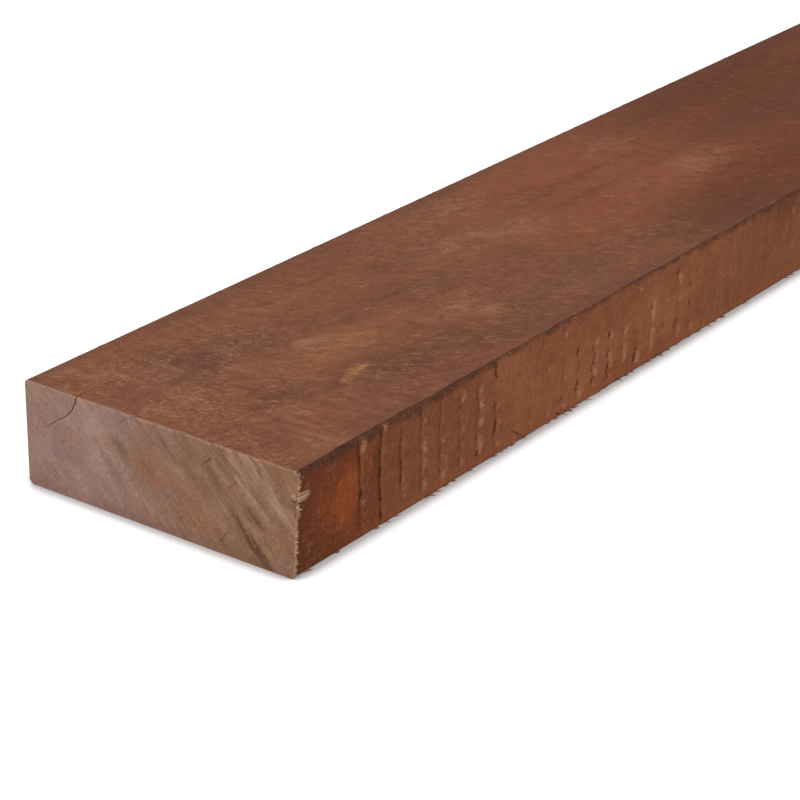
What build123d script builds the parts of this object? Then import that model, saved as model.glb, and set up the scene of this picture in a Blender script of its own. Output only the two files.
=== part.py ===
from build123d import *
import os
from math import pi, sin, sqrt

# Rough-sawn hardwood beam: one length of timber, lying on one of its wide faces.
# X runs along the beam, Y across it and Z up. The near end faces -X. Sizes are in millimetres.

# Trade size, over the saw ridges
LENGTH = 2000.0
WIDTH = 150.0
THICKNESS = 50.0

# Each long side leans in by this much from its upper arris to its lower one
SIDE_LEAN = 1.5

# Wood that each long side has to spare before it is sawn
SPARE = 5.0

# Saw marks: shallow steps across each long side, measured from the end where the saw went in
FIRST_MARK = 44.0
MARK_PITCH = 14.3
MARK_DEPTH = 0.8
MARK_RISE = 0.6
MARK_SLANT = 4.0

# The feed ran fast and slow in turn: the marks stray this far from an even pitch, once in so many marks
FEED_WANDER = 6.0
FEED_CYCLE = 40

# Arrises: two are bruised and two are still sharp, corner to corner across the section
BRUISED_ARRIS = 2.0
SHARP_ARRIS = 1.0

# Drying check in the near end: it opens at the top edge and curves down towards the +Y side
CHECK_HEAD = 30.0
CHECK_TIP = 8.0
CHECK_FALL = 20.5
CHECK_BOW = 2.4
CHECK_GAPE = 0.6
CHECK_DEPTH = 15.0


def mark_places():
    """Distances of the saw marks from the end where the saw went in, at the top of the side."""
    last_place = LENGTH - MARK_SLANT - MARK_PITCH
    places = []
    for number in range(int(LENGTH / MARK_PITCH)):
        stray = FEED_WANDER * sin(2 * pi * number / FEED_CYCLE)
        place = FIRST_MARK + number * MARK_PITCH + stray
        if place < last_place:
            places.append(place)
    return places


def saw_line():
    """Path of the saw down one long side, in plan at the top: it drifts in, and steps out at each mark."""
    near_end, ridge = -LENGTH / 2, -WIDTH / 2
    line = [(near_end - MARK_SLANT, ridge)]
    for place in mark_places():
        line.append((near_end + place, ridge + MARK_DEPTH))
        line.append((near_end + place + MARK_RISE, ridge))
    line.append((LENGTH / 2 + MARK_SLANT, ridge))
    return line


with BuildPart() as beam:
    # The blank, cross-cut to length and still too wide
    Box(LENGTH, WIDTH + 2 * SPARE, THICKNESS, align=(Align.CENTER, Align.CENTER, Align.MIN))

    # The saw takes a slab off each long side: the second cut is the first, turned end for end
    path = saw_line()
    slab_edge = -WIDTH / 2 - 2 * SPARE - SIDE_LEAN
    for side in (Plane.XY, Plane.XY.rotated((0, 0, 180))):
        with BuildSketch(side.offset(THICKNESS)):
            with BuildLine():
                Polyline(*path, (path[-1][0], slab_edge), (path[0][0], slab_edge), close=True)
            make_face()
        downward = side.x_dir * MARK_SLANT + side.y_dir * SIDE_LEAN - side.z_dir * THICKNESS
        extrude(amount=downward.length, dir=downward, mode=Mode.SUBTRACT)

    # A flat along each arris: a square bar, stood on its corner round the body, clips all four
    diagonal = WIDTH + THICKNESS - SIDE_LEAN
    with BuildSketch(Plane.YZ):
        with Locations((0, (THICKNESS + SIDE_LEAN) / 2)):
            Rectangle(
                (diagonal - 2 * SHARP_ARRIS) / sqrt(2),
                (diagonal - 2 * BRUISED_ARRIS) / sqrt(2),
                rotation=45,
            )
    extrude(amount=LENGTH, both=True, mode=Mode.INTERSECT)

    # The drying check: a crescent in the end face, run along the grain
    head = WIDTH / 2 - CHECK_HEAD
    tip = (WIDTH / 2 - CHECK_TIP, THICKNESS - CHECK_FALL)
    mouth = [(head - CHECK_GAPE / 2, THICKNESS), (head + CHECK_GAPE / 2, THICKNESS)]
    with BuildSketch(Plane.YZ.offset(-LENGTH / 2)):
        with BuildLine():
            SagittaArc(mouth[0], tip, -CHECK_BOW)
            SagittaArc(mouth[1], tip, -CHECK_BOW)
            Line(mouth[0], mouth[1])
        make_face()
    extrude(amount=CHECK_DEPTH, mode=Mode.SUBTRACT)

beam.part.label = "beam"

os.makedirs("parts", exist_ok=True)
export_step(beam.part, "parts/beam.step")
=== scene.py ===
import math
import bpy
import numpy as np
from mathutils import Matrix, Vector, noise
from mathutils.geometry import delaunay_2d_cdt


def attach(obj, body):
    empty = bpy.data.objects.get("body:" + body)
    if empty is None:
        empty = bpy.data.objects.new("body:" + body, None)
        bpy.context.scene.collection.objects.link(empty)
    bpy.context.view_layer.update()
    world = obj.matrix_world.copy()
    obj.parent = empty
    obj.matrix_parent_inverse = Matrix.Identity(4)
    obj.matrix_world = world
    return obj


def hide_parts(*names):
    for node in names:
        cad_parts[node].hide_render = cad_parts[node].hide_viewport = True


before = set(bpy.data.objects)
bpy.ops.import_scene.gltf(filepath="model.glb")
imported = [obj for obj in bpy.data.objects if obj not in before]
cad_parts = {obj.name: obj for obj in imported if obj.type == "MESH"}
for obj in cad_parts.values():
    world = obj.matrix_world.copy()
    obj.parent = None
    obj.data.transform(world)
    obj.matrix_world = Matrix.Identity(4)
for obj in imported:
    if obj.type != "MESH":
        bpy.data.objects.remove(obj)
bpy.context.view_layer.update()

# A rough-sawn hardwood beam. X runs along it from the near end, Y across it and Z up, in metres.
MM = 0.001

# Sizes that the CAD model also has
LENGTH = 2000 * MM
WIDTH = 150 * MM
THICKNESS = 50 * MM
SIDE_LEAN = 1.5 * MM
FIRST_MARK = 44 * MM
MARK_PITCH = 14.3 * MM
MARK_DEPTH = 0.8 * MM
MARK_RISE = 0.6 * MM
MARK_SLANT = 4 * MM
FEED_WANDER = 6 * MM
FEED_CYCLE = 40
BRUISED_ARRIS = 2 * MM
SHARP_ARRIS = 1 * MM
NEAR_END = -LENGTH / 2

# Camera of the photograph: a long lens beyond the near end, placed from the foot of that end
CAMERA_LENS = 120.0
CAMERA_SENSOR = 36.0
CAMERA_FROM_END = Vector((-0.7901, -0.6600, 0.5257))
CAMERA_AZIMUTH = math.radians(-55.844)
CAMERA_ELEVATION = math.radians(24.194)
CAMERA_ROLL = math.radians(2.072)


def rgb(red, green, blue):
    """A colour from its screen values, 0 to 255, as the shaders want it."""
    screen = np.array((red, green, blue)) / 255
    linear = np.where(screen <= 0.04045, screen / 12.92, ((screen + 0.055) / 1.055) ** 2.4)
    return (*linear.tolist(), 1.0)


def waver(x, y, z, seed):
    """A smooth random height, about -1 to 1, with humps one unit apart on each axis."""
    x, y, z = np.broadcast_arrays(x, y, z)
    points = zip(x.ravel() + 3.7 * seed, y.ravel() + 11.3 * seed, z.ravel() + 7.9 * seed)
    return np.array([noise.noise(point) for point in points]).reshape(x.shape)


def ease(value, low, high):
    """0 below low, 1 above high, and a smooth rise between them."""
    share = np.clip((value - low) / (high - low), 0, 1)
    return share * share * (3 - 2 * share)


def hump(value, middle, width):
    """1 at the middle, and next to nothing at twice the width from it."""
    return np.exp(-(((value - middle) / width) ** 2))


def new_object(name, data):
    """A new object in the scene."""
    item = bpy.data.objects.new(name, data)
    bpy.context.scene.collection.objects.link(item)
    return item


def new_mesh(name, points, faces):
    """A new mesh from its points and faces."""
    mesh = bpy.data.meshes.new(name)
    mesh.from_pydata(points, [], faces)
    return mesh


def carry(mesh, name, values):
    """Gives each point of a mesh a value that materials can read."""
    attribute = mesh.attributes.new(name, "FLOAT", "POINT")
    attribute.data.foreach_set("value", np.array(values, np.float32))


def tube(first, rings):
    """Faces of a four-sided tube that is closed at its start, from the number of its first point on."""
    faces = [(first + 3, first + 2, first + 1, first)]
    for ring in range(first, first + 4 * (rings - 1), 4):
        for corner in range(4):
            following = (corner + 1) % 4
            faces.append((ring + corner, ring + following, ring + 4 + following, ring + 4 + corner))
    return faces


def mark_places():
    """Distances of the saw marks from the end where the saw went in, at the top of the side."""
    numbers = np.arange(int(LENGTH / MARK_PITCH))
    stray = FEED_WANDER * np.sin(2 * math.pi * numbers / FEED_CYCLE)
    places = FIRST_MARK + numbers * MARK_PITCH + stray
    return places[places < LENGTH - MARK_SLANT - MARK_PITCH]


MARKS = mark_places()

# The marks that the photograph shows, from the near end on. First, how dark the foot of each one is at
# heights up the side in millimetres. Then the places where wood was pulled out of it, and those where its
# lip is frayed: each place has its height, its length up the mark, both in millimetres, and its strength.
SEEN_MARKS = 30
LINE_HEIGHTS = (0, 10, 20, 30, 40, 50)
FAINT_LINE = (0.12,) * len(LINE_HEIGHTS)
SEEN_LINES = (
    (0.2, 0.3, 0.6, 0.7, 0.9, 0.9),
    (0.9, 0.8, 0.9, 1.0, 0.8, 0.9),
    (0.1, 0.2, 0.7, 0.7, 0.5, 0.2),
    (0.3, 0.45, 0.3, 0.35, 0.5, 0.7),
    (0.1, 0.2, 0.4, 0.5, 0.5, 0.3),
    (0.1, 0.2, 0.2, 0.3, 0.3, 0.2),
    (0.4, 0.3, 0.4, 0.4, 0.4, 0.2),
    (0.1, 0.3, 0.4, 0.3, 0.4, 0.6),
)
SEEN_LINES += (FAINT_LINE,) * (SEEN_MARKS - len(SEEN_LINES))
SEEN_PITS = (
    ((45, 6, 0.5), (37, 6, 0.6), (28, 5, 0.8), (21, 6, 0.8), (15, 2, 0.8), (7, 3, 0.4)),
    ((35, 6, 0.6), (27, 6, 0.8), (19, 5, 0.8), (13, 4, 0.8), (5, 5, 0.9)),
    ((34, 4, 0.5), (27, 4, 0.7), (18, 5, 0.9)),
    ((45, 6, 0.7), (38, 4, 0.7), (30, 2, 0.5), (16, 5, 0.6), (7, 4, 0.6)),
    ((34, 8, 0.5), (18, 4, 0.6), (10, 3, 0.6)),
    ((37, 2, 0.7), (29, 4, 0.6), (22, 4, 0.4)),
    ((37, 4, 0.9), (28, 4, 0.5), (17, 5, 0.7), (7, 3, 0.9)),
    ((46, 6, 0.9), (42, 2, 0.9), (26, 4, 1.0), (15, 9, 1.0)),
    ((26, 4, 0.4),),
    ((20, 4, 0.3),),
    ((30, 3, 0.4), (22, 4, 0.4), (13, 3, 0.5), (7, 3, 0.6)),
    ((46, 3, 0.6), (29, 4, 0.6), (20, 4, 0.6), (9, 4, 0.9)),
    ((30, 5, 1.0), (20, 5, 0.8), (11, 5, 1.0)),
    ((38, 3, 0.6), (27, 4, 0.8), (18, 8, 0.9), (9, 4, 0.9)),
    ((29, 4, 1.0), (19, 4, 1.0), (11, 5, 1.0), (6, 3, 0.7)),
    ((25, 3, 0.6), (17, 3, 0.7)),
    ((9, 7, 1.0),),
    ((30, 3, 0.7), (20, 3, 0.5), (9, 4, 0.4)),
    ((34, 4, 0.6), (16, 3, 0.7), (10, 3, 0.4)),
    ((42, 3, 0.8), (26, 2, 0.5), (14, 6, 1.0), (7, 3, 0.9)),
    ((31, 3, 0.9), (21, 4, 0.9), (9, 3, 0.6)),
)
SEEN_PITS += ((),) * (SEEN_MARKS - len(SEEN_PITS))
SEEN_LIPS = (
    ((45, 6, 1.0), (25, 3, 0.5), (17, 3, 0.6), (11, 4, 0.6), (6, 3, 0.5)),
    ((48, 4, 0.9), (15, 3, 0.5), (7, 5, 0.6)),
    ((35, 3, 0.4), (25, 3, 0.5), (10, 8, 0.6)),
    ((41, 3, 0.6), (28, 8, 0.9), (19, 6, 0.8), (8, 7, 0.9)),
    ((25, 3, 0.7), (16, 4, 0.7), (7, 8, 0.8)),
    ((41, 5, 0.8), (31, 3, 0.5), (24, 5, 0.5), (15, 3, 0.5), (8, 6, 0.7)),
    ((40, 4, 0.8), (32, 5, 1.0), (23, 5, 1.0), (11, 8, 1.0)),
    ((26, 3, 0.7), (15, 6, 0.7), (6, 4, 0.8)),
    ((7, 4, 0.6),),
    ((6, 4, 0.5),),
    ((29, 4, 0.6), (6, 4, 0.7)),
    ((43, 4, 0.7), (20, 3, 0.6), (5, 4, 0.9)),
    ((28, 3, 0.5), (12, 4, 0.6), (6, 6, 1.0)),
    ((29, 4, 0.9), (22, 6, 0.8), (13, 5, 0.9), (6, 3, 0.6)),
    ((28, 4, 0.9), (18, 4, 0.8), (13, 5, 0.9), (6, 4, 0.7)),
    ((27, 4, 1.0), (17, 4, 0.8), (12, 5, 1.0)),
    ((44, 2, 1.0), (10, 4, 1.0), (6, 5, 0.9)),
    ((33, 4, 1.0), (28, 4, 1.0), (24, 4, 0.9), (17, 4, 1.0), (11, 8, 0.8)),
    ((28, 5, 0.6), (20, 4, 0.6), (12, 4, 0.5)),
    ((38, 6, 0.9), (27, 4, 0.8), (9, 5, 0.8)),
    ((7, 5, 0.9), (28, 4, 0.5)),
    (), (), ((24, 6, 0.4),), (), (), ((38, 4, 0.5),), (), ((40, 5, 0.7),), (),
)

# How strong the other marks are at most, and how far a tear leans along the beam for each length up it
MOST_UNSEEN = 0.7
TEAR_LEAN = 0.6


def unseen_strengths(seed):
    """A random strength for each mark: most of them are weak."""
    return MOST_UNSEEN * np.random.default_rng(seed).uniform(0, 1, len(MARKS)) ** 1.5


def line_strengths(seen, nearest, level, seed):
    """How dark the foot of the nearest mark is at each height: as seen on the first marks, or at random."""
    lines = np.clip(0.8 + 0.9 * waver(nearest[:, None] * 3.1, level / 9, 0, seed), 0.1, 1.3)
    lines = lines * unseen_strengths(seed)[nearest][:, None]
    for number, strengths in enumerate(seen):
        mine = nearest == number
        lines[mine] = np.interp(level[mine], LINE_HEIGHTS, strengths)
    return lines


def tears(seen, nearest, level, seed):
    """How torn the nearest mark is at each height, as seen or at random, and how far each tear leans."""
    torn = ease(waver(nearest[:, None] * 2.3, level / 4.2, 0, seed), 0.05, 0.4)
    torn *= unseen_strengths(seed)[nearest][:, None]
    lean = np.zeros_like(torn)
    for number, places in enumerate(seen):
        mine = nearest == number
        torn[mine] = 0
        for height, length, strength in places:
            up = level[mine] - height
            window = np.exp(-((up / (0.6 * length)) ** 4))
            torn[mine] += strength * window
            lean[mine] += TEAR_LEAN * up * window
    return np.minimum(torn, 1), lean


# Columns of the mesh: close behind the end, evenly before the first mark, then a set of them at each mark
END_COLUMNS = np.array((0, 0.7, 1.6)) * MM
COLUMN_STEP = 2.4 * MM
MARK_COLUMNS = np.array((-2.2, -0.8, 0.0, 0.6, 1.6, 3.2, 7.4)) * MM


def column_places():
    """Distances of the mesh columns from the end where the saw went in."""
    last_before = FIRST_MARK + MARK_COLUMNS[0] - COLUMN_STEP / 2
    before = np.arange(END_COLUMNS[-1] + COLUMN_STEP, last_before, COLUMN_STEP)
    around = (MARKS[:, None] + MARK_COLUMNS).ravel()
    last_columns = LENGTH - END_COLUMNS[::-1]
    after = np.arange(around[-1] + COLUMN_STEP, last_columns[0] - COLUMN_STEP / 2, COLUMN_STEP)
    return np.concatenate((END_COLUMNS, before, around, after, last_columns))


def saw_inset(places):
    """How far in from its ridges the sawn side lies, at distances from where the saw went in."""
    turns = np.repeat(MARKS, 2)
    turns[1::2] += MARK_RISE
    insets = np.tile((MARK_DEPTH, 0.0), len(MARKS))
    return np.interp(places, np.concatenate(([0], turns, [LENGTH])), np.concatenate(([0], insets, [0])))


# Along the beam from a mark: the middle and the width of its notch in the arris, its pits and its lip
NOTCH = (-0.2 * MM, 1.3 * MM)
PIT = (-0.1 * MM, 0.9 * MM)
LIP = (2.3 * MM, 1.8 * MM)

# Depth of pits, rise of lips, how far wood may stand proud, and depth of the grain and of wide hollows
PIT_DEPTH = 0.35 * MM
LIP_RISE = 0.3 * MM
MOST_PROUD = 0.3 * MM
GRAIN_DEPTH = 0.06 * MM
HOLLOW_DEPTH = 0.15 * MM

# Along the beam: waves of a bruised arris, reach of a mark's stray, the painted shade before it and the
# painted highlight after it, and the fade of all this at the ends
LONG_WAVE = 16 * MM
SHORT_WAVE = 4 * MM
STRAY_REACH = 3.2 * MM
DARK_BEFORE = 2.4 * MM
PALE_AFTER = 3.5 * MM
END_FADE = 30 * MM

# Dirt and painted shade under the upper arris: its height at distances from the end where the saw went in,
# and its strength on the arris itself
GRIME_AND_SHADE_PLACES = np.array((0, 100, 150, 330, 420, 520)) * MM
GRIME_AND_SHADE_HEIGHTS = np.array((5.0, 4.4, 2.4, 2.2, 3.2, 2.4)) * MM
ARRIS_GRIME_AND_SHADE = 0.85

# The least that an arris takes off the top of a long side
LEAST_EDGE = 0.2 * MM


class SawnSide:
    """One long side of the beam: a grid of columns along it and rows up it, with torn saw marks."""

    def __init__(self, rows, low_arris, high_arris, seen, seed):
        lines, pits, lips = seen
        columns = column_places()
        nearest = np.abs(columns[:, None] - MARKS).argmin(axis=1)
        offset = columns - MARKS[nearest]
        fade = np.clip(np.minimum(columns, LENGTH - columns) / END_FADE, 0, 1)
        inset = saw_inset(columns)

        # A bruised upper arris wanders, and marks that run out through it notch it; a sharp one is straight
        bruise = high_arris - SHARP_ARRIS
        top_level = np.full((len(columns), 1), THICKNESS / MM)
        notch = line_strengths(lines, nearest, top_level, seed)[:, 0] * hump(offset, *NOTCH)
        wander = 0.7 * waver(columns / LONG_WAVE, 0, 0, seed)
        self.arris = high_arris + bruise * (wander + 0.9 * notch * fade)
        self.arris += bruise * 0.35 * waver(columns / SHORT_WAVE, 5, 0, seed)
        top = THICKNESS - np.maximum(self.arris - inset, LEAST_EDGE)
        self.height = low_arris + np.linspace(0, 1, rows) * (top - low_arris)[:, None]
        below = 1 - self.height / THICKNESS
        level = self.height / MM

        # Each mark strays along the beam as it goes down. Fibres pulled out at its foot leave pits that
        # lean the other way, and the lip after it is frayed
        line = line_strengths(lines, nearest, level, seed)
        pit, lean = tears(pits, nearest, level, seed + 4)
        fleck, _ = tears(lips, nearest, level, seed + 5)
        stray = 1.2 * waver(nearest[:, None] * 7.3, level / 11, 0, seed + 1) + lean * (1 - line) ** 2
        stray += 0.5 * waver(nearest[:, None] * 5.9, level / 2.2, 0, seed + 2)
        reach = hump(offset, 0, STRAY_REACH) * fade
        self.place = columns[:, None] + MARK_SLANT * below * fade[:, None] + stray * MM * reach[:, None]
        pit = pit * hump(offset, *PIT)[:, None]
        fleck = fleck * hump(offset, *LIP)[:, None]
        grain = waver(self.place / (5 * MM), level / 1.6, 0, seed + 6)
        hollow = waver(self.place / (26 * MM), level / 22, 0, seed + 7)
        self.inset = SIDE_LEAN * below + inset[:, None] * (0.25 + 0.75 * line)
        self.inset += PIT_DEPTH * pit - LIP_RISE * fleck
        self.inset += (GRAIN_DEPTH * grain + HOLLOW_DEPTH * (1 + hollow)) * fade[:, None]
        self.inset = np.maximum(self.inset, -MOST_PROUD)

        # Painted shade in the hollow before the foot of a mark, and a painted highlight on the ridge after
        # it
        before = np.where(offset < MARK_RISE / 2, np.exp(np.minimum(offset, 0) / DARK_BEFORE), 0)[:, None]
        after = np.where(offset > MARK_RISE / 2, np.exp(-offset / PALE_AFTER), 0)[:, None]
        self.foot_shade = np.clip(line * before, 0, 1)
        self.ridge_highlight = np.clip((0.2 + 0.8 * line) * after, 0, 1)
        # Pits get painted shade; frayed lips are pale torn fibre that also gets a painted highlight
        self.pit = np.clip(pit, 0, 1)
        self.torn = np.clip(fleck, 0, 1)

        # Dirt and painted shade under a bruised arris
        reach_down = np.interp(self.place, GRIME_AND_SHADE_PLACES, GRIME_AND_SHADE_HEIGHTS)
        reach_down = reach_down * (1 + 0.6 * waver(self.place / (7 * MM), level / 30, 0, seed + 8))
        bruised_share = bruise / (BRUISED_ARRIS - SHARP_ARRIS)
        self.grime_and_shade = hump(self.height, THICKNESS, reach_down) * bruised_share


# Section of the beam: how many points each face has across it, and how near its edges the last ones are
TOP_POINTS = 20
SOLE_POINTS = 6
FRONT_ROWS = 50
BACK_ROWS = 18
EDGE_SHARES = (0.0, 0.006)


def spread(start, stop, shares):
    """Values from start to stop, one row for each column of the mesh."""
    return start[:, None] + (stop - start)[:, None] * shares


def body_grid():
    """Places and masks of the long faces, as arrays of columns by ring points, and each point's face."""
    front = SawnSide(FRONT_ROWS, SHARP_ARRIS, BRUISED_ARRIS, (SEEN_LINES, SEEN_PITS, SEEN_LIPS), seed=1)
    back = SawnSide(BACK_ROWS, BRUISED_ARRIS, SHARP_ARRIS, ((), (), ()), seed=21)
    upper, lower = WIDTH / 2, WIDTH / 2 - SIDE_LEAN
    count = len(front.place)
    even = np.ones(count)

    # The back is sawn from the far end, so its columns are turned end for end, and its rows run down
    back_place = (LENGTH - back.place)[::-1, ::-1]
    back_height = back.height[::-1, ::-1]
    back_y = (WIDTH / 2 - back.inset)[::-1, ::-1]
    edge_shares = np.array(EDGE_SHARES)
    inner_shares = np.linspace(0, 1, TOP_POINTS - 2)[1:-1]
    top_shares = np.concatenate((edge_shares, inner_shares, 1 - edge_shares[::-1]))
    sole_shares = np.linspace(0, 1, SOLE_POINTS)

    place = np.hstack((
        spread(back_place[:, -1], front.place[:, 0], sole_shares),
        front.place,
        spread(front.place[:, -1], back_place[:, 0], top_shares),
        back_place,
    ))
    y = np.hstack((
        spread(even * (lower - BRUISED_ARRIS), even * (SHARP_ARRIS - lower), sole_shares),
        front.inset - WIDTH / 2,
        spread(front.arris - upper, even * (upper - SHARP_ARRIS), top_shares),
        back_y,
    ))
    z = np.hstack((
        np.zeros((count, SOLE_POINTS)),
        front.height,
        np.full((count, TOP_POINTS), THICKNESS),
        back_height,
    ))
    faces = ["sole"] * SOLE_POINTS + ["front"] * FRONT_ROWS + ["top"] * TOP_POINTS + ["back"] * BACK_ROWS
    masks = {}
    for name in ("foot_shade", "ridge_highlight", "pit", "torn", "grime_and_shade"):
        masks[name] = np.zeros_like(place)
        masks[name][:, SOLE_POINTS:SOLE_POINTS + FRONT_ROWS] = getattr(front, name)
        masks[name][:, -BACK_ROWS:] = getattr(back, name)[::-1, ::-1]
    arris = SOLE_POINTS + FRONT_ROWS
    # The arris row and the row under it: a dark, broken line, partly dirt and partly painted shade
    masks["grime_and_shade"][:, arris] = 1.0
    broken = ARRIS_GRIME_AND_SHADE * ease(waver(place[:, arris] / (9 * MM), 0, 0, 9), -0.4, 0.5)
    masks["grime_and_shade"][:, arris - 1] = np.maximum(masks["grime_and_shade"][:, arris - 1], broken)
    return np.stack((NEAR_END + place, y, z), axis=-1), faces, masks


# Ends of the mesh: spacing of their points, how much it varies, their margin, and depth and size of relief
CAP_STEP = 2 * MM
CAP_JITTER = 0.3
CAP_MARGIN = 1.2 * MM
CAP_RELIEF = 0.12 * MM
CAP_WAVE = 6 * MM


def cap(loop):
    """Fills a closed loop of flat points: the points inside it, and triangles that count the loop first."""
    low, high = loop.min(axis=0) + CAP_MARGIN, loop.max(axis=0) - CAP_MARGIN
    across, up = (np.arange(start, stop, CAP_STEP) for start, stop in zip(low, high))
    grid = np.stack(np.meshgrid(across, up), -1).reshape(-1, 2)
    inner = grid + np.random.default_rng(3).uniform(-CAP_JITTER, CAP_JITTER, grid.shape) * CAP_STEP
    edge = np.roll(loop, -1, axis=0) - loop
    out = np.stack((edge[:, 1], -edge[:, 0]), -1) / np.linalg.norm(edge, axis=1)[:, None]
    depth = ((loop[None] - inner[:, None]) * out[None]).sum(axis=-1)
    inner = inner[(depth > CAP_MARGIN / 2).all(axis=1)]
    points = [Vector(point) for point in np.vstack((loop, inner))]
    edges = [(number, (number + 1) % len(loop)) for number in range(len(loop))]
    _, _, triangles, origins, _, _ = delaunay_2d_cdt(points, edges, [], 1, 1e-9)
    numbers = [origin[0] for origin in origins]
    return inner, [[numbers[corner] for corner in triangle] for triangle in triangles]


# Numbers of the beam's materials
FACE, EDGE, END, WALL = range(4)


def beam_mesh():
    """The beam as one closed mesh, with a material for each kind of face."""
    grid, faces, masks = body_grid()
    columns, ring = grid.shape[:2]
    number = np.arange(columns * ring).reshape(columns, ring)
    here, along = number[:-1], number[1:]
    quads = np.stack((here, along, np.roll(along, -1, 1), np.roll(here, -1, 1)), -1)
    polygons = quads.reshape(-1, 4).tolist()
    kind = {"sole": FACE, "top": FACE, "front": EDGE, "back": EDGE}
    materials = [kind[face] for face in faces] * (columns - 1)
    points = grid.reshape(-1, 3)
    values = {name: mask.ravel() for name, mask in masks.items()}
    for end, hand in ((0, -1), (columns - 1, 1)):
        loop = grid[end, :, 1:] * (hand, 1)
        inner, triangles = cap(loop[::-hand])
        lookup = np.concatenate((number[end][::-hand], len(points) + np.arange(len(inner))))
        relief = CAP_RELIEF * (1 + waver(inner[:, 0] / CAP_WAVE, inner[:, 1] / CAP_WAVE, 0, end))
        flat = np.column_stack((grid[end, 0, 0] - hand * relief, inner * (hand, 1)))
        points = np.vstack((points, flat))
        values = {name: np.concatenate((value, np.zeros(len(inner)))) for name, value in values.items()}
        polygons += lookup[np.array(triangles)].tolist()
        materials += [END] * len(triangles)
    mesh = new_mesh("beam_wood", points.tolist(), polygons)
    mesh.polygons.foreach_set("material_index", materials)
    for name, value in values.items():
        carry(mesh, name, value)
    return mesh


# Drying checks in the near end: points from the mouth to the tip, measured from the +Y edge and from the
# floor, then how wide the mouth gapes and how deep it goes, all in millimetres
CHECKS = (
    (
        ((30.5, 51.0), (29.4, 47.9), (27.9, 44.4), (25.8, 41.0), (23.1, 38.6), (16.2, 33.9), (9.5, 28.8)),
        0.55, 15.0,
    ),
    (((61.4, 51.0), (60.3, 47.4)), 0.4, 5.0),
    (((111.8, 51.0), (108.2, 45.0)), 0.28, 3.0),
    (((104.2, 42.8), (101.5, 40.2), (99.0, 37.5)), 0.5, 4.0),
    (((117.8, 36.5), (113.4, 30.8)), 0.25, 3.0),
    (((94.4, 20.5), (92.3, 18.3)), 0.18, 2.0),
    (((89.6, 11.9), (88.0, 9.5), (85.2, 4.6)), 0.22, 3.0),
    (((114.3, 12.0), (112.0, 9.0), (107.8, 3.4)), 0.28, 3.0),
    (((24.0, 27.8), (19.5, 25.6), (15.2, 21.8)), 0.15, 2.0),
    (((58.4, 47.8), (50.0, 42.0)), 0.12, 2.0),
    (((101.0, 29.7), (95.0, 24.6)), 0.12, 2.0),
)

# Steps along a check, how far it strays, how wide its tip is and how far before the end its wedge starts
CHECK_STEP = 0.9 * MM
CHECK_STRAY = 0.16 * MM
CHECK_TIP = 0.05 * MM
CHECK_START = 0.5 * MM


def check_prism(path, gape, depth, seed):
    """Points and faces of one check: a ragged line in the end face that narrows as it goes in."""
    path = np.array(path) * MM
    run = np.concatenate(([0], np.cumsum(np.linalg.norm(np.diff(path, axis=0), axis=1))))
    steps = np.linspace(0, run[-1], max(4, int(run[-1] / CHECK_STEP)))
    share = steps / run[-1]
    line = np.column_stack([np.interp(steps, run, path[:, axis]) for axis in (0, 1)])
    way = np.gradient(line, axis=0)
    across = np.column_stack((-way[:, 1], way[:, 0])) / np.linalg.norm(way, axis=1)[:, None]
    draw = np.random.default_rng(seed).uniform
    line += across * draw(-CHECK_STRAY, CHECK_STRAY, len(line))[:, None]
    half = (CHECK_TIP + gape * MM * (1 - share) ** 0.6 * draw(0.6, 1.1, len(line))) / 2
    bottom = depth * MM * (1 - 0.7 * share)
    even = np.ones(len(line))
    rings = []
    for width, x in ((half, -CHECK_START * even), (CHECK_TIP / 2 * even, bottom)):
        for hand in (1, -1):
            edge = line + hand * across * width[:, None]
            rings.append(np.column_stack((NEAR_END + x, WIDTH / 2 - edge[:, 0], edge[:, 1])))
    points = np.stack((rings[0], rings[1], rings[3], rings[2]), axis=1).reshape(-1, 3)
    last = 4 * (len(line) - 1)
    return points, [*tube(0, len(line)), (last, last + 1, last + 2, last + 3)]


def cut_checks(beam):
    """Opens the drying checks in the beam's near end."""
    points, faces = [], []
    for seed, (path, gape, depth) in enumerate(CHECKS):
        prism, sides = check_prism(path, gape, depth, seed)
        faces += [[len(points) + corner for corner in side] for side in sides]
        points += prism.tolist()
    mesh = new_mesh("checks", points, faces)
    mesh.polygons.foreach_set("material_index", [WALL] * len(faces))
    for material in beam.data.materials:
        mesh.materials.append(material)
    cutter = new_object("checks", mesh)
    cut = beam.modifiers.new("checks", "BOOLEAN")
    cut.operation = "DIFFERENCE"
    cut.solver = "MANIFOLD"
    cut.object = cutter
    graph = bpy.context.evaluated_depsgraph_get()
    beam.data = bpy.data.meshes.new_from_object(beam.evaluated_get(graph))
    beam.modifiers.clear()
    bpy.data.objects.remove(cutter)
    bpy.data.meshes.remove(mesh)


# Layout of the baked pictures: the beam's skin in four lengths of one scale, with the ends enlarged above
# them and the walls of the checks pressed together beside those
SHEET = 1024
SHEET_GAP = 8
LENGTHS = 4
END_ENLARGED = 3
WALLS_PRESSED = 4


def numbers_of(items, name):
    """A whole-number property of a mesh's parts, as an array."""
    values = np.zeros(len(items), np.int32)
    items.foreach_get(name, values)
    return values


def vectors_of(items, name):
    """A vector property of a mesh's parts, as an array with a row for each."""
    values = np.zeros(3 * len(items))
    items.foreach_get(name, values)
    return values.reshape(-1, 3)


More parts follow.
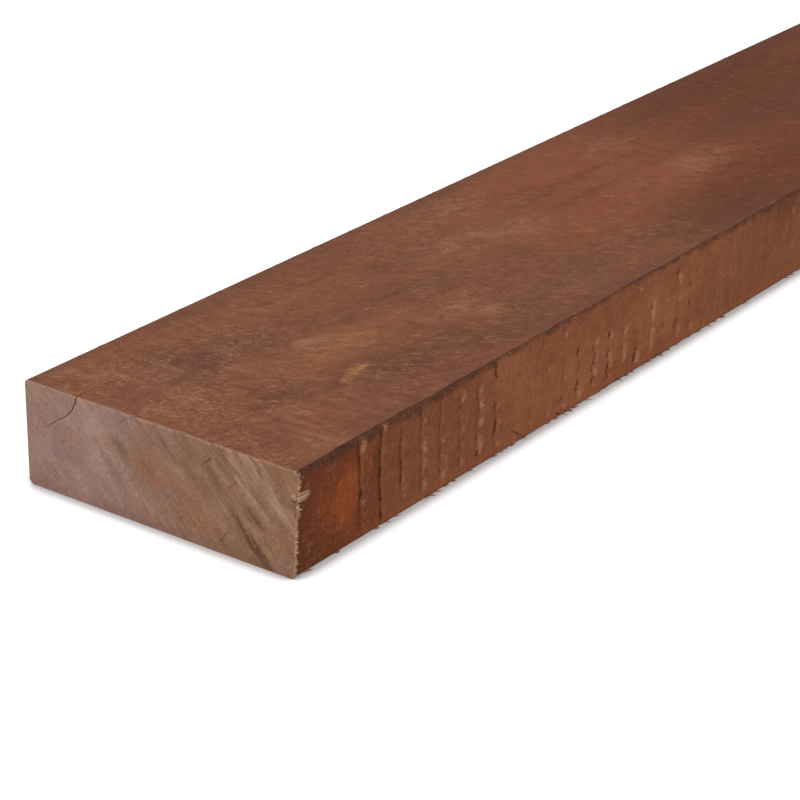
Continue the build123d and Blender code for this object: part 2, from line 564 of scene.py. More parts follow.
def bake_layout(mesh):
    """Gives each face its own place on one square sheet, in pixels that are about a millimetre each."""
    # One row for each corner of each face, in millimetres from the near end, the middle line and the floor
    owner = np.repeat(np.arange(len(mesh.polygons)), numbers_of(mesh.polygons, "loop_total"))
    kind = numbers_of(mesh.polygons, "material_index")[owner]
    normal = vectors_of(mesh.polygons, "normal")[owner]
    middle = vectors_of(mesh.polygons, "center")[owner] / MM
    x, y, z = (vectors_of(mesh.vertices, "co")[numbers_of(mesh.loops, "vertex_index")] / MM).T
    x, middle_x = x - NEAR_END / MM, middle[:, 0] - NEAR_END / MM
    width, thickness, length = WIDTH / MM, THICKNESS / MM, LENGTH / MM

    # The skin is unrolled from the sole, up the front, over the top and down the back
    upper, front = middle[:, 2] > thickness / 2, middle[:, 1] < 0
    round_sole = width / 2 - y
    round_front = width + z
    round_top = width + thickness + width / 2 + y
    round_back = 2 * (width + thickness) - z
    round_face = np.where(upper, round_top, round_sole)
    round_side = np.where(front, round_front, round_back)
    around = np.where(kind == FACE, round_face, round_side)
    part_length = length / LENGTHS
    part = np.clip(middle_x // part_length, 0, LENGTHS - 1)
    row_height = 2 * (width + thickness) + SHEET_GAP
    u = SHEET_GAP + (part % 2) * (part_length + SHEET_GAP) + x - part * part_length
    v = SHEET_GAP + (part // 2) * row_height + around

    # The ends are side by side above it, and the walls of the checks beside those, opened out
    far = middle_x > length / 2
    ends = kind == END
    end_left = np.where(far, SHEET_GAP + END_ENLARGED * width + SHEET_GAP, SHEET_GAP)
    above = SHEET_GAP + 2 * row_height
    u = np.where(ends, end_left + END_ENLARGED * (y + width / 2), u)
    v = np.where(ends, above + END_ENLARGED * z, v)
    walls = kind == WALL
    wall_base = SHEET_GAP + 2 * (END_ENLARGED * width + SHEET_GAP) + width / WALLS_PRESSED
    opened = np.where(normal[:, 1] > 0, -x, x)
    u = np.where(walls, wall_base + y / WALLS_PRESSED + opened, u)
    v = np.where(walls, above + END_ENLARGED * z, v)
    layout = mesh.uv_layers.new(name="OFBake")
    layout.data.foreach_set("uv", (np.stack((u, v), -1) / SHEET).astype(np.float32).ravel())


# Sockets of the colour mix node
FIRST_COLOUR, SECOND_COLOUR, MIXED_COLOUR = 6, 7, 2


class Nodes:
    """The node tree of a material or a world, under construction."""

    def __init__(self, owner):
        owner.use_nodes = True
        self.owner = owner
        self.tree = owner.node_tree

    def fill(self, node, inputs):
        """Gives a node's inputs: each is a link from another node's output, or a value of its own."""
        for name, value in inputs.items():
            if isinstance(value, bpy.types.NodeSocket):
                self.tree.links.new(value, node.inputs[name])
            else:
                node.inputs[name].default_value = value

    def add(self, kind, inputs=None, **settings):
        """A new node with its settings and inputs."""
        node = self.tree.nodes.new(kind)
        for name, value in settings.items():
            setattr(node, name, value)
        self.fill(node, inputs or {})
        return node

    def math(self, operation, *values):
        """The result of a sum on links and numbers."""
        return self.add("ShaderNodeMath", dict(enumerate(values)), operation=operation).outputs[0]

    def seen_directly(self):
        """1 for rays that show the background to the eye, straight, in a gloss or through glass."""
        path = self.add("ShaderNodeLightPath").outputs
        shown = self.math("MAXIMUM", path["Is Camera Ray"], path["Is Glossy Ray"])
        return self.math("MAXIMUM", shown, path["Is Transmission Ray"])


# Finish of bare wood
WOOD_ROUGHNESS = 0.85
WOOD_GLOSS = 0.12


class Paint(Nodes):
    """A wood material under construction: its colour is laid on in layers. Sizes are in millimetres."""

    def __init__(self, name):
        super().__init__(bpy.data.materials.new(name))
        self.place = self.add("ShaderNodeTexCoord").outputs["Object"]
        self.axes = self.add("ShaderNodeSeparateXYZ", {"Vector": self.place}).outputs
        self.colour = None

    def blend(self, share, first, second):
        """A mix of two colours, from the first to the second as the share goes from 0 to 1."""
        inputs = {"Factor": share, FIRST_COLOUR: first, SECOND_COLOUR: second}
        return self.add("ShaderNodeMix", inputs, data_type="RGBA").outputs[MIXED_COLOUR]

    def lay(self, share, colour):
        """Lays a share of a colour over those before it."""
        self.colour = self.blend(share, self.colour, colour)

    def fleck(self, rough, share, dark, pale, limit=None):
        """Darkens the colour in a noise's hollows and lightens it on its humps, within a limit."""
        for low, high, stain in ((0.5, 0.22, dark), (0.5, 0.8, pale)):
            amount = self.level(rough, low, high, 0.0, share)
            if limit is not None:
                amount = self.math("MULTIPLY", amount, limit)
            self.lay(amount, stain)

    def local(self, middle, size, turn=(0, 0, 0)):
        """Places as seen from a middle, in units of a size, turned in degrees."""
        return self.add("ShaderNodeMapping", {
            "Vector": self.place,
            "Location": tuple(length * MM for length in middle),
            "Rotation": tuple(math.radians(angle) for angle in turn),
            "Scale": tuple(length * MM for length in size),
        }, vector_type="TEXTURE").outputs[0]

    def noise(self, size, detail=2.0, roughness=0.5, turn=(0, 0, 0), seed=0.0, twist=0.0):
        """Noise from 0 to 1 whose spots have this size along X, Y and Z, turned in degrees."""
        return self.add("ShaderNodeTexNoise", {
            "Vector": self.local((0, 0, 0), size, turn), "W": seed, "Scale": 1.0,
            "Detail": detail, "Roughness": roughness, "Distortion": twist,
        }, noise_dimensions="4D").outputs["Fac"]

    def stains(self, spots, lay):
        """The sum of listed stains, each strongest in its middle."""
        total = 0.0
        for *spot, strength in spots:
            place = {"Vector": self.local(*lay(*spot))}
            fade = self.add("ShaderNodeTexGradient", place, gradient_type="SPHERICAL").outputs["Fac"]
            total = self.math("MULTIPLY_ADD", fade, strength, total)
        return total

    def mask(self, name):
        """A value that the mesh carries."""
        return self.add("ShaderNodeAttribute", attribute_name=name).outputs["Fac"]

    def level(self, value, low, high, start=0.0, stop=1.0):
        """start where value is low, stop where it is high, and smooth between."""
        return self.add("ShaderNodeMapRange", {
            "Value": value, "From Min": low, "From Max": high, "To Min": start, "To Max": stop,
        }, interpolation_type="SMOOTHSTEP").outputs[0]

    def ragged(self, value, rough, share):
        """A value whose outline is broken up by a noise."""
        return self.math("MULTIPLY_ADD", self.math("SUBTRACT", rough, 0.5), share, value)

    def wispy(self, amount, rough, most):
        """The share of a stain, from nothing to most: an amount that a noise tears into wisps."""
        torn = self.math("MULTIPLY", amount, self.level(rough, 0.3, 0.7, 0.0, 2.0))
        return self.level(torn, 0.1, 1.3, 0.0, most)

    def soft(self, amount, rough, most):
        """The share of a stain, from nothing to most, with an uneven but unbroken outline."""
        return self.level(self.ragged(amount, rough, 0.7), 0.15, 0.95, 0.0, most)

    def end_distance(self):
        """Distance from the nearer end, in metres."""
        return self.math("SUBTRACT", LENGTH / 2, self.math("ABSOLUTE", self.axes["X"]))

    def bump(self, height, depth, normal=None):
        """Relief of this depth where height goes from 0 to 1, over the relief before it."""
        inputs = {"Height": height, "Distance": depth * MM, "Strength": 1.0}
        if normal is not None:
            inputs["Normal"] = normal
        return self.add("ShaderNodeBump", inputs).outputs[0]

    def finish(self, normal):
        """The material, with the colour laid so far and this relief."""
        self.fill(self.tree.nodes["Principled BSDF"], {
            "Base Color": self.colour, "Normal": normal,
            "Roughness": WOOD_ROUGHNESS, "Specular IOR Level": WOOD_GLOSS,
        })
        return self.owner


# Stains on the upper face: distance from the near end and from the middle line, length, width, strength
TOP_TAN = (
    (117, -5, 40, 24, 0.7), (190, -25, 40, 16, 0.9), (253, 25, 44, 14, 0.8), (300, 52, 50, 26, 0.8),
    (300, 12, 46, 22, 0.8), (447, 45, 46, 26, 0.6), (467, -5, 50, 24, 0.6), (437, -15, 44, 20, 0.5),
    (25, 62, 30, 24, 0.3), (197, -42, 14, 12, 0.9), (40, 32, 26, 20, 0.6), (112, 4, 12, 7, 1.2),
    (18, 58, 6, 30, 0.5), (28, 52, 5, 26, 0.5), (9, 48, 5, 26, 0.4), (50, 40, 3, 60, 0.45),
    (96, 48, 3, 44, 0.4),
)
TOP_GOLD = (
    (105, -30, 8, 5, 1.7), (98, -32, 7, 5, 1.7), (91, -34, 8, 4, 1.5), (130, -8, 30, 12, 0.5),
    (36, 5, 16, 5, 0.6),
)
TOP_DARK = (
    (57, -25, 50, 22, 0.9), (110, -38, 44, 16, 0.9), (57, 25, 26, 60, 0.8), (157, -55, 110, 34, 0.8),
    (273, -8, 46, 20, 0.7), (337, 38, 60, 10, 0.7), (520, 55, 140, 24, 0.8), (533, 8, 110, 24, 0.8),
    (367, -48, 110, 34, 0.8), (158, 47, 170, 4, 0.7), (183, 8, 120, 4, 0.7), (385, 27, 150, 8, 0.9),
    (385, 11, 140, 8, 0.8), (230, -40, 120, 30, 0.5), (760, 0, 280, 220, 0.7), (395, -66, 70, 16, 0.9),
    (310, -70, 60, 8, 0.6),
)
TOP_RUDDY = (
    (50, -52, 90, 36, 0.5), (360, 42, 120, 30, 1.0), (360, -8, 120, 34, 1.0), (450, 10, 240, 140, 0.9),
    (150, -62, 90, 26, 0.5),
)
TOP_DEEP = ((640, 10, 260, 300, 1.3), (430, -58, 130, 50, 1.0))
TOP_CALM = ((62, -58, 70, 34, 1.4), (150, 55, 90, 30, 0.8))

# Along the beam: where the photograph stops showing it, its rough ends, and where its grain gets quieter
PHOTO_EDGE = (NEAR_END + 500 * MM, NEAR_END + 700 * MM)
ROUGH_END = (30 * MM, 170 * MM)
QUIET_MIDDLE = (200 * MM, 420 * MM)

# Turns of the wisps and of the grain on the wide faces, in degrees
WISP_TURN = (0, 0, -36)
GRAIN_TURN = (0, 0, -48)


def on_top(x, y, length, width):
    """Middle and size of a stain on the upper face."""
    return (NEAR_END / MM + x, y, THICKNESS / MM), (length, width, 0.8 * THICKNESS / MM)


def sawn_face():
    """The wide faces: red-brown, clouded and stained, with a fine grain and a little fuzz."""
    paint = Paint("sawn_face")
    cloud = paint.noise((110, 28, 28), detail=4, roughness=0.6)
    paint.colour = paint.blend(paint.level(cloud, 0.35, 0.65), rgb(117, 70, 50), rgb(134, 83, 56))
    warmth = paint.noise((90, 34, 34), detail=4, roughness=0.6, seed=1)
    paint.lay(paint.level(warmth, 0.48, 0.7, 0.0, 0.6), rgb(143, 87, 56))
    paint.lay(paint.level(warmth, 0.48, 0.28, 0.0, 0.5), rgb(113, 71, 59))

    # The wood is a deeper red-brown farther back
    deep = paint.soft(paint.stains(TOP_DEEP, on_top), warmth, 0.7)
    paint.lay(deep, rgb(92, 44, 20))

    # Stains torn into wisps: laid where the photograph shows them, and at random beyond
    wisp = paint.noise((14, 6, 6), detail=5, roughness=0.75, seed=2, turn=WISP_TURN, twist=1.2)
    drift = paint.noise((90, 22, 22), detail=3, seed=3)
    beyond = paint.level(paint.axes["X"], *PHOTO_EDGE)
    under = paint.level(paint.axes["Z"], 0.1 * THICKNESS, 0.9 * THICKNESS, 1.0, 0.0)
    unseen = paint.math("MAXIMUM", beyond, under)
    for spots, low, high, stain, most in (
        (TOP_RUDDY, 0.42, 0.54, rgb(143, 76, 47), 0.7),
        (TOP_DARK, 0.54, 0.7, rgb(86, 51, 41), 0.6),
        (TOP_TAN, 0.45, 0.28, rgb(168, 118, 88), 0.55),
    ):
        chance = paint.math("MULTIPLY", paint.level(drift, low, high, 0.0, 0.8), unseen)
        amount = paint.math("MAXIMUM", paint.stains(spots, on_top), chance)
        paint.lay(paint.wispy(amount, wisp, most), stain)
    paint.lay(paint.wispy(paint.stains(TOP_GOLD, on_top), wisp, 0.9), rgb(172, 121, 74))

    # Grain at every size down to the fibre, all leaning one way, and rougher near the ends
    near = paint.level(paint.end_distance(), *ROUGH_END, 1.0, 0.0)
    grain = paint.noise((9, 4.8, 4.8), detail=5, roughness=0.8, seed=4, turn=GRAIN_TURN, twist=1.4)
    quiet = paint.level(paint.end_distance(), *QUIET_MIDDLE, 1.0, 0.7)
    paint.fleck(grain, 0.9, rgb(72, 41, 30), rgb(182, 129, 96), quiet)
    patch = paint.level(paint.noise((34, 18, 18), detail=3, seed=6), 0.4, 0.65, 0.2, 0.75)
    far = paint.level(paint.end_distance(), *QUIET_MIDDLE, 0.85, 0.3)
    calm = paint.level(paint.ragged(paint.stains(TOP_CALM, on_top), wisp, 1.0), 0.2, 0.6, 1.0, 0.35)
    rough = paint.math("MULTIPLY", paint.math("MULTIPLY", patch, calm), paint.math("ADD", near, far))
    grit = paint.noise((2.6, 1.8, 1.8), detail=3, roughness=0.85, seed=5, turn=GRAIN_TURN, twist=1.6)
    paint.fleck(grit, 1.0, rgb(68, 39, 29), rgb(188, 135, 100), rough)
    fuzz = paint.noise((3.4, 1.3, 1.3), detail=2, roughness=0.7, seed=8, turn=GRAIN_TURN, twist=1.8)
    paint.fleck(fuzz, 0.65, rgb(76, 44, 33), rgb(186, 133, 100), rough)
    speck = paint.level(paint.noise((1.8, 1.3, 1.3), detail=1, seed=9), 0.74, 0.82, 0.0, 0.8)
    paint.lay(paint.math("MULTIPLY", speck, rough), rgb(214, 176, 142))

    # Bars that a cross-cut saw left near the ends
    bars = paint.noise((7, 34, 34), detail=5, roughness=0.7, seed=7, turn=(0, 0, 3))
    paint.fleck(bars, 0.55, rgb(86, 53, 42), rgb(172, 122, 96), near)

    # The deeper red-brown shows through the grain as well
    paint.lay(paint.math("MULTIPLY", deep, 0.43), rgb(100, 50, 22))

    # A darker band along the arrises and a pale, chipped rim at the ends
    edge = paint.math("SUBTRACT", WIDTH / 2, paint.math("ABSOLUTE", paint.axes["Y"]))
    arris_band = paint.level(paint.ragged(edge, wisp, 30 * MM), 2 * MM, 14 * MM, 0.3, 0.0)
    paint.lay(arris_band, rgb(107, 66, 53))
    rim = paint.level(paint.ragged(paint.end_distance(), grain, 9 * MM), 0.1 * MM, 1.0 * MM, 0.5, 0.0)
    paint.lay(rim, rgb(180, 138, 112))
    return paint.finish(paint.bump(fuzz, 0.12, paint.bump(grit, 0.2, paint.bump(grain, 0.5))))


# Stains on the front: distance from the near end, height, length, height of the stain and strength
FRONT_BROWN = ((90, 30, 100, 130, 1.0), (420, 30, 140, 100, 0.8))
FRONT_RUDDY = ((14, 24, 74, 120, 1.4),)
FRONT_ORANGE = ((38, 26, 11, 22, 1.2), (24, 20, 26, 30, 0.6), (50, 40, 12, 20, 0.5))
FRONT_DARK = (
    (4, 24, 22, 44, 1.0), (12, 8, 40, 20, 0.6), (56, 34, 7, 50, 0.6), (84, 40, 12, 30, 0.4),
    (430, 45, 45, 14, 0.8),
)


def on_front(x, z, length, height):
    """Middle and size of a stain on the long side that the photograph shows."""
    return (NEAR_END / MM + x, -WIDTH / 2 / MM, z), (length, WIDTH / 2 / MM, height)


def sawn_edge():
    """The long sides: more orange, torn saw marks with painted shade and highlights, and dirt and painted
    shade under the arris.
    """
    paint = Paint("sawn_edge")
    cloud = paint.noise((40, 40, 30), detail=3, seed=10)
    paint.colour = paint.blend(paint.level(cloud, 0.35, 0.65), rgb(136, 80, 51), rgb(147, 90, 60))
    mottle = paint.noise((9, 8, 8), detail=5, roughness=0.75, seed=11)
    for spots, stain, most in (
        (FRONT_BROWN, rgb(113, 65, 39), 0.6),
        (FRONT_RUDDY, rgb(106, 46, 19), 0.9),
        (FRONT_ORANGE, rgb(160, 80, 40), 0.6),
        (FRONT_DARK, rgb(84, 44, 26), 0.6),
    ):
        paint.lay(paint.soft(paint.stains(spots, on_front), mottle, most), stain)

    # Mottling, faint scratches that lean as the marks do, and grit
    lean = (0, math.degrees(math.atan2(MARK_SLANT, THICKNESS)), 0)
    scratch = paint.noise((2.5, 8, 16), detail=3, roughness=0.8, turn=lean, seed=12)
    grit = paint.noise((2.2, 3, 2.2), detail=3, roughness=0.85, seed=13)
    for rough, share in ((mottle, 0.5), (scratch, 0.3), (grit, 0.6)):
        paint.fleck(rough, share, rgb(80, 43, 26), rgb(178, 114, 74))

    # Painted shade before the marks and a painted highlight after them, dirt and painted shade under the
    # arris, then frayed lips with a painted highlight, and pits with painted shade
    tear = paint.noise((1.2, 2.0, 1.7), detail=3, roughness=0.7, turn=(0, 24, 0), seed=14, twist=1.0)
    soil_and_shade = paint.blend(paint.level(grit, 0.35, 0.65), rgb(55, 32, 23), rgb(94, 58, 43))
    for name, rough, share, low, high, most, stain in (
        ("foot_shade", None, 0.0, 0.0, 1.0, 0.5, rgb(84, 48, 31)),
        ("foot_shade", tear, 2.4, 0.45, 1.1, 0.7, rgb(66, 38, 25)),
        ("ridge_highlight", mottle, 0.9, 0.15, 1.0, 0.35, rgb(168, 112, 78)),
        ("grime_and_shade", None, 0.0, 0.05, 1.0, 0.4, rgb(76, 45, 32)),
        ("grime_and_shade", mottle, 2.2, 0.42, 1.05, 0.9, soil_and_shade),
        ("torn", tear, -2.8, 0.32, 0.85, 0.58, rgb(188, 136, 98)),
        ("pit", tear, 2.8, 0.4, 0.9, 0.85, rgb(68, 37, 22)),
    ):
        amount = paint.mask(name)
        if rough is not None:
            amount = paint.ragged(amount, rough, share)
        paint.lay(paint.level(amount, low, high, 0.0, most), stain)

    # Torn fibre along the ends, and a more orange foot
    rim = paint.level(paint.ragged(paint.end_distance(), grit, 9 * MM), 0.2 * MM, 1.6 * MM, 0.8, 0.0)
    paint.lay(rim, rgb(194, 156, 124))
    foot = paint.level(paint.ragged(paint.axes["Z"], mottle, 10 * MM), 1 * MM, 7 * MM, 0.45, 0.0)
    foot = paint.math("MULTIPLY", foot, paint.level(paint.end_distance(), 30 * MM, 70 * MM))
    paint.lay(foot, rgb(160, 92, 58))
    return paint.finish(paint.bump(grit, 0.3, paint.bump(mottle, 0.5)))


# Stains on the near end: distance from the +Y edge, height, length down the grain, width and strength
END_RUDDY = (
    (76, 24, 30, 18, 1.0), (68, 32, 18, 12, 0.8), (93, 15, 20, 10, 0.9), (98, 25, 16, 9, 0.7),
    (106, 5, 22, 8, 0.8),
)
END_DARK = (
    (117, 21, 9, 3, 1.0), (125, 23, 9, 4, 1.2), (130, 20, 8, 3, 1.0), (124, 12, 12, 3, 1.8),
    (130, 7, 12, 3, 2.3), (134, 3, 8, 2.6, 2.4), (112, 6, 14, 5, 0.9), (20, 22, 20, 9, 0.5),
    (78, 43, 20, 5, 0.7), (54, 33, 16, 6, 0.6), (70, 27, 14, 5, 0.5), (16, 10, 18, 8, 0.5),
    (106, 35, 16, 4, 0.7), (94, 40, 18, 4, 0.6),
)
END_PALE = (
    (149, 25, 130, 5, 1.1), (10, 44, 24, 10, 0.8), (36, 42, 34, 8, 0.8), (118, 43, 24, 4, 1.0),
    (108, 38, 22, 3, 1.0), (138, 34, 30, 4, 0.9), (127, 41, 26, 4, 1.1), (60, 18, 20, 5, 0.7),
    (44, 10, 16, 6, 0.6), (126, 30, 26, 3, 0.8),
)

# How steeply the grain falls across the near end, in degrees, and where the end turns from grey to brown
GRAIN_FALL = 47.0
BROWN_SIDE = (45 * MM, -50 * MM)


def on_end(across, z, length, width):
    """Middle, size and turn of a stain on the near end, drawn out down the grain."""
    middle = (NEAR_END / MM, WIDTH / 2 / MM - across, z)
    return middle, (LENGTH / 2 / MM, length, width), (GRAIN_FALL, 0, 0)


def end_grain():
    """The cross-cut ends: greyer on one side and browner on the other, with streaks down the grain."""
    paint = Paint("end_grain")
    turn = (GRAIN_FALL, 0, 0)
    cloud = paint.noise((60, 26, 13), detail=4, roughness=0.6, turn=turn, seed=20)
    brown = paint.level(paint.ragged(paint.axes["Y"], cloud, 60 * MM), *BROWN_SIDE)
    pale = paint.blend(brown, rgb(168, 137, 126), rgb(152, 112, 86))
    deep = paint.blend(brown, rgb(149, 119, 108), rgb(132, 93, 69))
    paint.colour = paint.blend(paint.level(cloud, 0.34, 0.66), deep, pale)
    hue = paint.noise((40, 18, 12), detail=3, seed=23)
    paint.lay(paint.level(hue, 0.48, 0.7, 0.0, 0.5), rgb(148, 106, 84))
    paint.lay(paint.level(hue, 0.48, 0.3, 0.0, 0.4), rgb(138, 110, 108))
    streak = paint.noise((20, 16, 2.4), detail=5, roughness=0.75, turn=turn, seed=21, twist=0.3)
    for spots, stain, most in (
        (END_RUDDY, rgb(146, 94, 63), 0.6),
        (END_DARK, rgb(80, 48, 34), 0.75),
        (END_PALE, rgb(184, 148, 124), 0.45),
    ):
        paint.lay(paint.wispy(paint.stains(spots, on_end), streak, most), stain)
    strong = paint.level(brown, 0.0, 1.0, 0.45, 1.0)
    paint.fleck(streak, 0.62, rgb(90, 62, 49), rgb(200, 162, 134), strong)

    # Short strokes of the cross-cut saw against the grain, and pores
    stroke = paint.noise((20, 7, 0.9), detail=2, turn=(-GRAIN_FALL, 0, 0), seed=24)
    paint.lay(paint.level(stroke, 0.42, 0.25, 0.0, 0.45), rgb(94, 64, 53))
    pores = paint.noise((2.0, 2.0, 1.6), detail=3, roughness=0.85, turn=turn, seed=22)
    paint.fleck(pores, 0.47, rgb(94, 64, 54), rgb(202, 170, 150))

    # A thin, broken lip under the upper edge, and painted shade at the foot, darker towards the floor
    upper_edge = (THICKNESS - 0.9 * MM, THICKNESS)
    lip = paint.level(paint.ragged(paint.axes["Z"], streak, 9 * MM), *upper_edge, 0.0, 0.55)
    paint.lay(lip, rgb(192, 150, 122))
    foot = paint.level(paint.ragged(paint.axes["Z"], streak, 8 * MM), 0, 7 * MM, 0.35, 0.0)
    paint.lay(foot, rgb(116, 82, 68))
    return paint.finish(paint.bump(pores, 0.25, paint.bump(streak, 0.35)))


def check_wall():
    """The walls of the drying checks: painted shade, a dark colour for wood that the light hardly reaches.
    """
    paint = Paint("check_wall")
    grain = paint.noise((8, 1.2, 1.2), detail=3, seed=30)
    paint.colour = paint.blend(paint.level(grain, 0.35, 0.65), rgb(46, 28, 21), rgb(74, 46, 34))
    return paint.finish(paint.bump(grain, 0.3))


def splinter_wood():
    """Loose fibre: pale where it broke off the end, dark where it hangs from the foot."""
    paint = Paint("splinter_wood")
    fibre = paint.noise((6, 0.8, 0.8), detail=3, seed=31)
    streaky = paint.level(fibre, 0.3, 0.7)
    pale = paint.blend(streaky, rgb(160, 118, 88), rgb(204, 168, 138))
    dark = paint.blend(streaky, rgb(76, 31, 24), rgb(128, 62, 44))
    paint.colour = paint.blend(paint.mask("dark"), pale, dark)
    return paint.finish(paint.bump(fibre, 0.2))


# Splinters: where a sliver's rings lie along it, their widths, how flat it is and how low it may hang
RING_PLACES = np.array((0.0, 0.4, 0.75))
RING_WIDTHS = np.array((1.0, 0.85, 0.5))
FLATNESS = 0.35
LOWEST = 0.02 * MM


class Splinters:
    """Tapered slivers of wood, gathered into one mesh. Places and sizes are in millimetres."""

    def __init__(self):
        self.points, self.faces, self.dark = [], [], []

    def add(self, root, way, length, width, bend=(0, 0, 0), dark=0.0, blunt=0.0, facing=(0.1, 1, 0.1)):
        """A sliver that lies flat on the side it faces and bends to its tip: rings of four and a point."""
        way = np.array(way, float) / np.linalg.norm(way)
        side = np.cross(way, facing)
        side /= np.linalg.norm(side)
        thick = np.cross(way, side) * FLATNESS
        first = len(self.points)
        for share, size in zip(RING_PLACES, RING_WIDTHS + (1 - RING_WIDTHS) * blunt):
            middle = np.array(root) + way * length * share + np.array(bend) * share ** 2
            for offset in (side, thick, -side, -thick):
                self.points.append(middle + offset * size * width / 2)
        self.points.append(np.array(root) + way * length + np.array(bend))
        self.dark += [dark] * (len(self.points) - first)
        tip = len(self.points) - 1
        self.faces += tube(first, len(RING_PLACES))
        for corner in range(4):
            self.faces.append((tip - 4 + corner, tip - 4 + (corner + 1) % 4, tip))

    def mesh(self):
        """All slivers as one mesh, none of them below the floor."""
        places = np.array(self.points) * MM + (NEAR_END, 0, 0)
        places[:, 2] = np.maximum(places[:, 2], LOWEST)
        mesh = new_mesh("splinters", places.tolist(), self.faces)
        carry(mesh, "dark", self.dark)
        mesh.shade_smooth()
        return mesh


def front_y(z):
    """Where the ridges of the front side lie at a height, in millimetres."""
    return (SIDE_LEAN * (1 - z * MM / THICKNESS) - WIDTH / 2) / MM


# Near end's upright edge, in millimetres: the heights of its torn fibre, how many slivers its upper corner
# has, and the layers of the chip folded over it (height, length, width and darkness)
FRAYED_HEIGHTS = np.arange(0.8, THICKNESS / MM - 3, 0.8)
CORNER_SLIVERS = 26
CHIP_LAYERS = ((39.4, 9.0, 2.6, 0.45), (38.0, 8.8, 3.0, 0.1), (36.8, 7.4, 2.4, 0.3))


def fray_near_edge(splinters):
    """Fibre torn out along the near end's upright edge, fuzz at its corner and a broad chip over it."""
    draw = np.random.default_rng(40).uniform
    for z in FRAYED_HEIGHTS:
        root = (draw(-0.1, 0.3), front_y(z), z)
        way = (1, draw(-0.3, -0.02), draw(-0.5, 0.3))
        splinters.add(root, way, draw(0.8, 3.0), draw(0.7, 1.5), dark=draw(0, 0.3), blunt=draw(0, 0.8))
    for _ in range(CORNER_SLIVERS):
        root = (draw(-0.1, 2.2), front_y(47) + draw(0.1, 1.6), draw(44.5, 49.3))
        way = (draw(-0.3, 1), draw(-0.6, 0.2), draw(-0.6, 0.8))
        splinters.add(root, way, draw(0.6, 1.8), draw(0.4, 0.9), dark=draw(0, 0.4))
    for z, length, width, dark in CHIP_LAYERS:
        root = (-0.1, front_y(z) - 0.1, z)
        splinters.add(root, (1, 0, -0.08), length, width, (0, -0.3, 0.1), dark, blunt=0.9)
    fold = (-0.2, front_y(38) + 2.7, 38.2)
    splinters.add(fold, (0.04, -1, 0.02), 2.9, 4.4, dark=0.3, blunt=0.9, facing=(1, 0, 0))
    curl = (0.2, front_y(46) + 0.6, 46.2)
    splinters.add(curl, (1, -0.12, 0.1), 4.5, 0.9, (0, -0.3, 0.5))


# Foot of the front, in millimetres: its long hairs (distance from the near end, height and length), the
# stretch that is hairy, the share that is clean there and elsewhere, the steps between fibres, how many
# steps there may be, and the bare length before the far end
FOOT_HAIRS = (
    (64, 2, 6), (97, 1.5, 8), (168, 8, 12), (207, 3, 9), (214, 2, 7), (262, 2, 6), (301, 2, 7), (352, 2, 6),
)
HAIRY_FOOT = (95, 330)
CLEAN_SHARES = (0.4, 0.75)
FOOT_STEPS = (1.2, 8.0)
FOOT_FIBRES = 440
BARE_END = 5


def fray_foot(splinters):
    """Fibre that hangs from the front's lower edge, longest where the photograph shows hairs."""
    draw = np.random.default_rng(41).uniform
    for x in np.cumsum(draw(*FOOT_STEPS, FOOT_FIBRES)):
        if x > LENGTH / MM - BARE_END:
            break
        hairy = HAIRY_FOOT[0] < x < HAIRY_FOOT[1]
        if draw() < CLEAN_SHARES[0 if hairy else 1]:
            continue
        z = draw(0.3, 1.6)
        way = (1, draw(-0.35, -0.05), draw(-0.2, 0.02))
        root = (x, front_y(z) + 0.1, z)
        splinters.add(root, way, draw(1.5, 6.0), draw(0.5, 1.2), dark=draw(0.4, 0.9))
    for x, z, length in FOOT_HAIRS:
        way = (1, draw(-0.28, -0.16), -z / length)
        root, bend = (x, front_y(z) + 0.2, z), (0, -0.2, -0.3)
        splinters.add(root, way, length, 0.7, bend, dark=draw(0.8, 1.0))


# Flakes at each place where a lip is fully frayed
FLAKES_AT_PLACE = 3


def fray_marks(splinters):
    """Flakes that stand off the torn lips of the front's marks, where the photograph shows them."""
    draw = np.random.default_rng(42).uniform
    for place, lips in zip(MARKS / MM, SEEN_LIPS):
        for height, length, strength in lips:
            for _ in range(round(FLAKES_AT_PLACE * strength)):
                z = height + draw(-0.5, 0.5) * length
                x = place + MARK_SLANT / MM * (1 - z / (THICKNESS / MM)) + draw(0.8, 2.8)
                way = (draw(-1.0, 0.3), draw(-0.4, -0.05), draw(-0.9, 0.9))
                root = (x, front_y(z) + 0.35, z)
                splinters.add(root, way, draw(0.7, 1.9), draw(0.4, 1.1), dark=draw(0.3, 0.7))


def build_splinters():
    """The loose fibre, which rides on the beam."""
    splinters = Splinters()
    fray_near_edge(splinters)
    fray_foot(splinters)
    fray_marks(splinters)
    mesh = splinters.mesh()
    mesh.materials.append(splinter_wood())
    piece = new_object("splinters", mesh)
    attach(piece, "root")


# Edges that turn by more than this are shaded as sharp
SHARP_TURN = math.radians(38)


def build_beam():
    """The dressed beam, in place of the plain solid."""
    mesh = beam_mesh()
    for material in (sawn_face(), sawn_edge(), end_grain(), check_wall()):
        mesh.materials.append(material)
    beam = new_object("sawn_beam", mesh)
    cut_checks(beam)
    beam.data.shade_smooth()
    beam.data.set_sharp_from_angle(angle=SHARP_TURN)
    bake_layout(beam.data)
    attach(beam, "root")
    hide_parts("beam")


# Stage: a white floor that glows to the eye, the soft painted contact shadow where the beam meets
# it, and the lights
FLOOR_SIZE = 8.0
FLOOR_GLOW = 0.8
FLOOR_WHITE = rgb(190, 190, 190)
CONTACT_REACH = 13.5 * MM
CONTACT_OPENNESS = (0.57, 0.97)
CONTACT_DEPTH = 0.82
CONTACT_SHARPNESS = 1.9
WORLD_LIGHT = 0.45
LIGHT_SIZE = 1.6


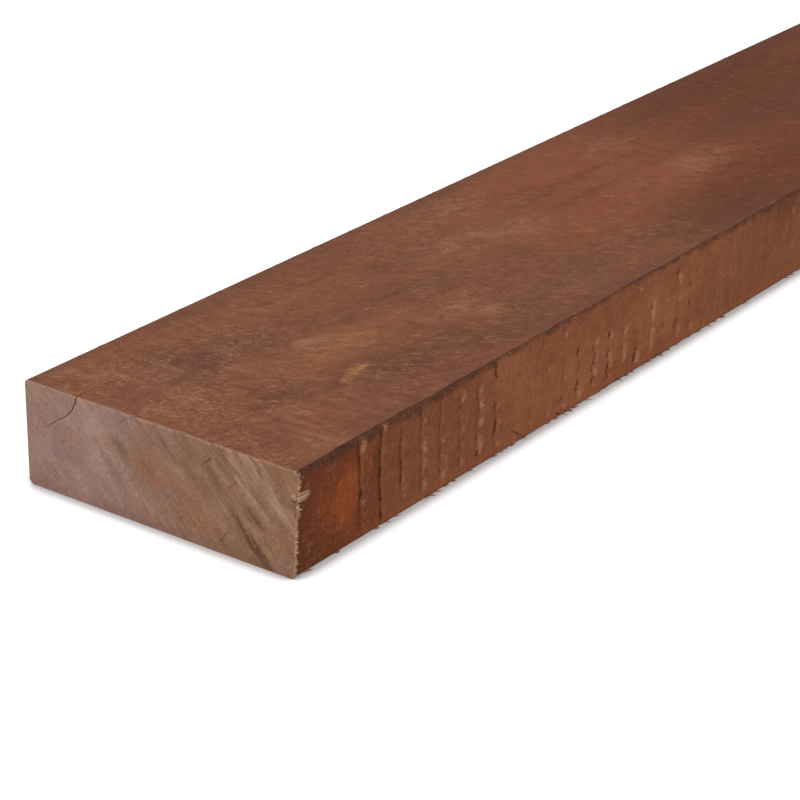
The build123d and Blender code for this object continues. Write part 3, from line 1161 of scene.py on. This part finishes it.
def floor_material():
    """A white floor that keeps the beam's shadow, with a painted contact shadow, darkest where the beam
    meets it.
    """
    nodes = Nodes(bpy.data.materials.new("floor_white"))
    # Painted contact shadow: ambient occlusion darkens the floor's glow near the beam
    openness = nodes.add("ShaderNodeAmbientOcclusion", {"Distance": CONTACT_REACH}).outputs["AO"]
    nearness = nodes.add("ShaderNodeMapRange", {
        "Value": openness, "From Min": CONTACT_OPENNESS[0], "From Max": CONTACT_OPENNESS[1],
        "To Min": 1.0, "To Max": 0.0,
    }).outputs[0]
    dark_line = nodes.math("POWER", nearness, CONTACT_SHARPNESS)
    nodes.fill(nodes.tree.nodes["Principled BSDF"], {
        "Base Color": FLOOR_WHITE,
        "Roughness": 1.0,
        "Specular IOR Level": 0.0,
        "Emission Color": nodes.math("MULTIPLY_ADD", dark_line, -CONTACT_DEPTH, 1.0),
        "Emission Strength": nodes.math("MULTIPLY", nodes.seen_directly(), FLOOR_GLOW),
    })
    return nodes.owner


def build_floor():
    """One large square under the beam."""
    half = FLOOR_SIZE / 2
    corners = [(-half, -half, 0), (half, -half, 0), (half, half, 0), (-half, half, 0)]
    mesh = new_mesh("floor", corners, [(0, 1, 2, 3)])
    mesh.materials.append(floor_material())
    floor = new_object("floor", mesh)


def build_world():
    """White all round to the eye, and a weaker, even light on the beam."""
    nodes = Nodes(bpy.data.worlds.new("studio"))
    strength = nodes.add("ShaderNodeMapRange", {
        "Value": nodes.seen_directly(), "To Min": WORLD_LIGHT, "To Max": 1.0,
    }).outputs[0]
    nodes.fill(nodes.tree.nodes["Background"], {"Color": (1, 1, 1, 1), "Strength": strength})
    bpy.context.scene.world = nodes.owner


def soft_light(name, place, aim, power):
    """A square area light at a place, turned to its aim."""
    data = bpy.data.lights.new(name, "AREA")
    data.size = LIGHT_SIZE
    data.energy = power
    lamp = new_object(name, data)
    lamp.location = place
    lamp.rotation_euler = (Vector(aim) - Vector(place)).to_track_quat("-Z", "Y").to_euler()


def build_lights():
    """Soft light on the near end and the front, and weaker light on the far end and the back."""
    near_aim, far_aim = (NEAR_END + 0.3, 0, 0), (-NEAR_END - 0.3, 0, 0)
    soft_light("key", (NEAR_END - 1.7, -0.1, 1.5), near_aim, 32)
    soft_light("fill", (NEAR_END + 0.6, -1.9, 0.8), near_aim, 13)
    soft_light("far", (-NEAR_END + 2.0, 0.1, 0.8), far_aim, 16)
    soft_light("back", (-NEAR_END - 0.6, 1.9, 0.45), far_aim, 8)


def build_camera():
    """The photograph's camera."""
    data = bpy.data.cameras.new("camera")
    data.lens = CAMERA_LENS
    data.sensor_width = CAMERA_SENSOR
    camera = new_object("camera", data)
    place = Matrix.Translation(Vector((NEAR_END, 0, 0)) + CAMERA_FROM_END)
    around = Matrix.Rotation(CAMERA_AZIMUTH, 4, "Z")
    down = Matrix.Rotation(math.pi / 2 - CAMERA_ELEVATION, 4, "X")
    camera.matrix_world = place @ around @ down @ Matrix.Rotation(CAMERA_ROLL, 4, "Z")
    bpy.context.scene.camera = camera


bpy.context.scene.view_settings.view_transform = "Standard"
build_beam()
build_splinters()
build_floor()
build_world()
build_lights()
build_camera()
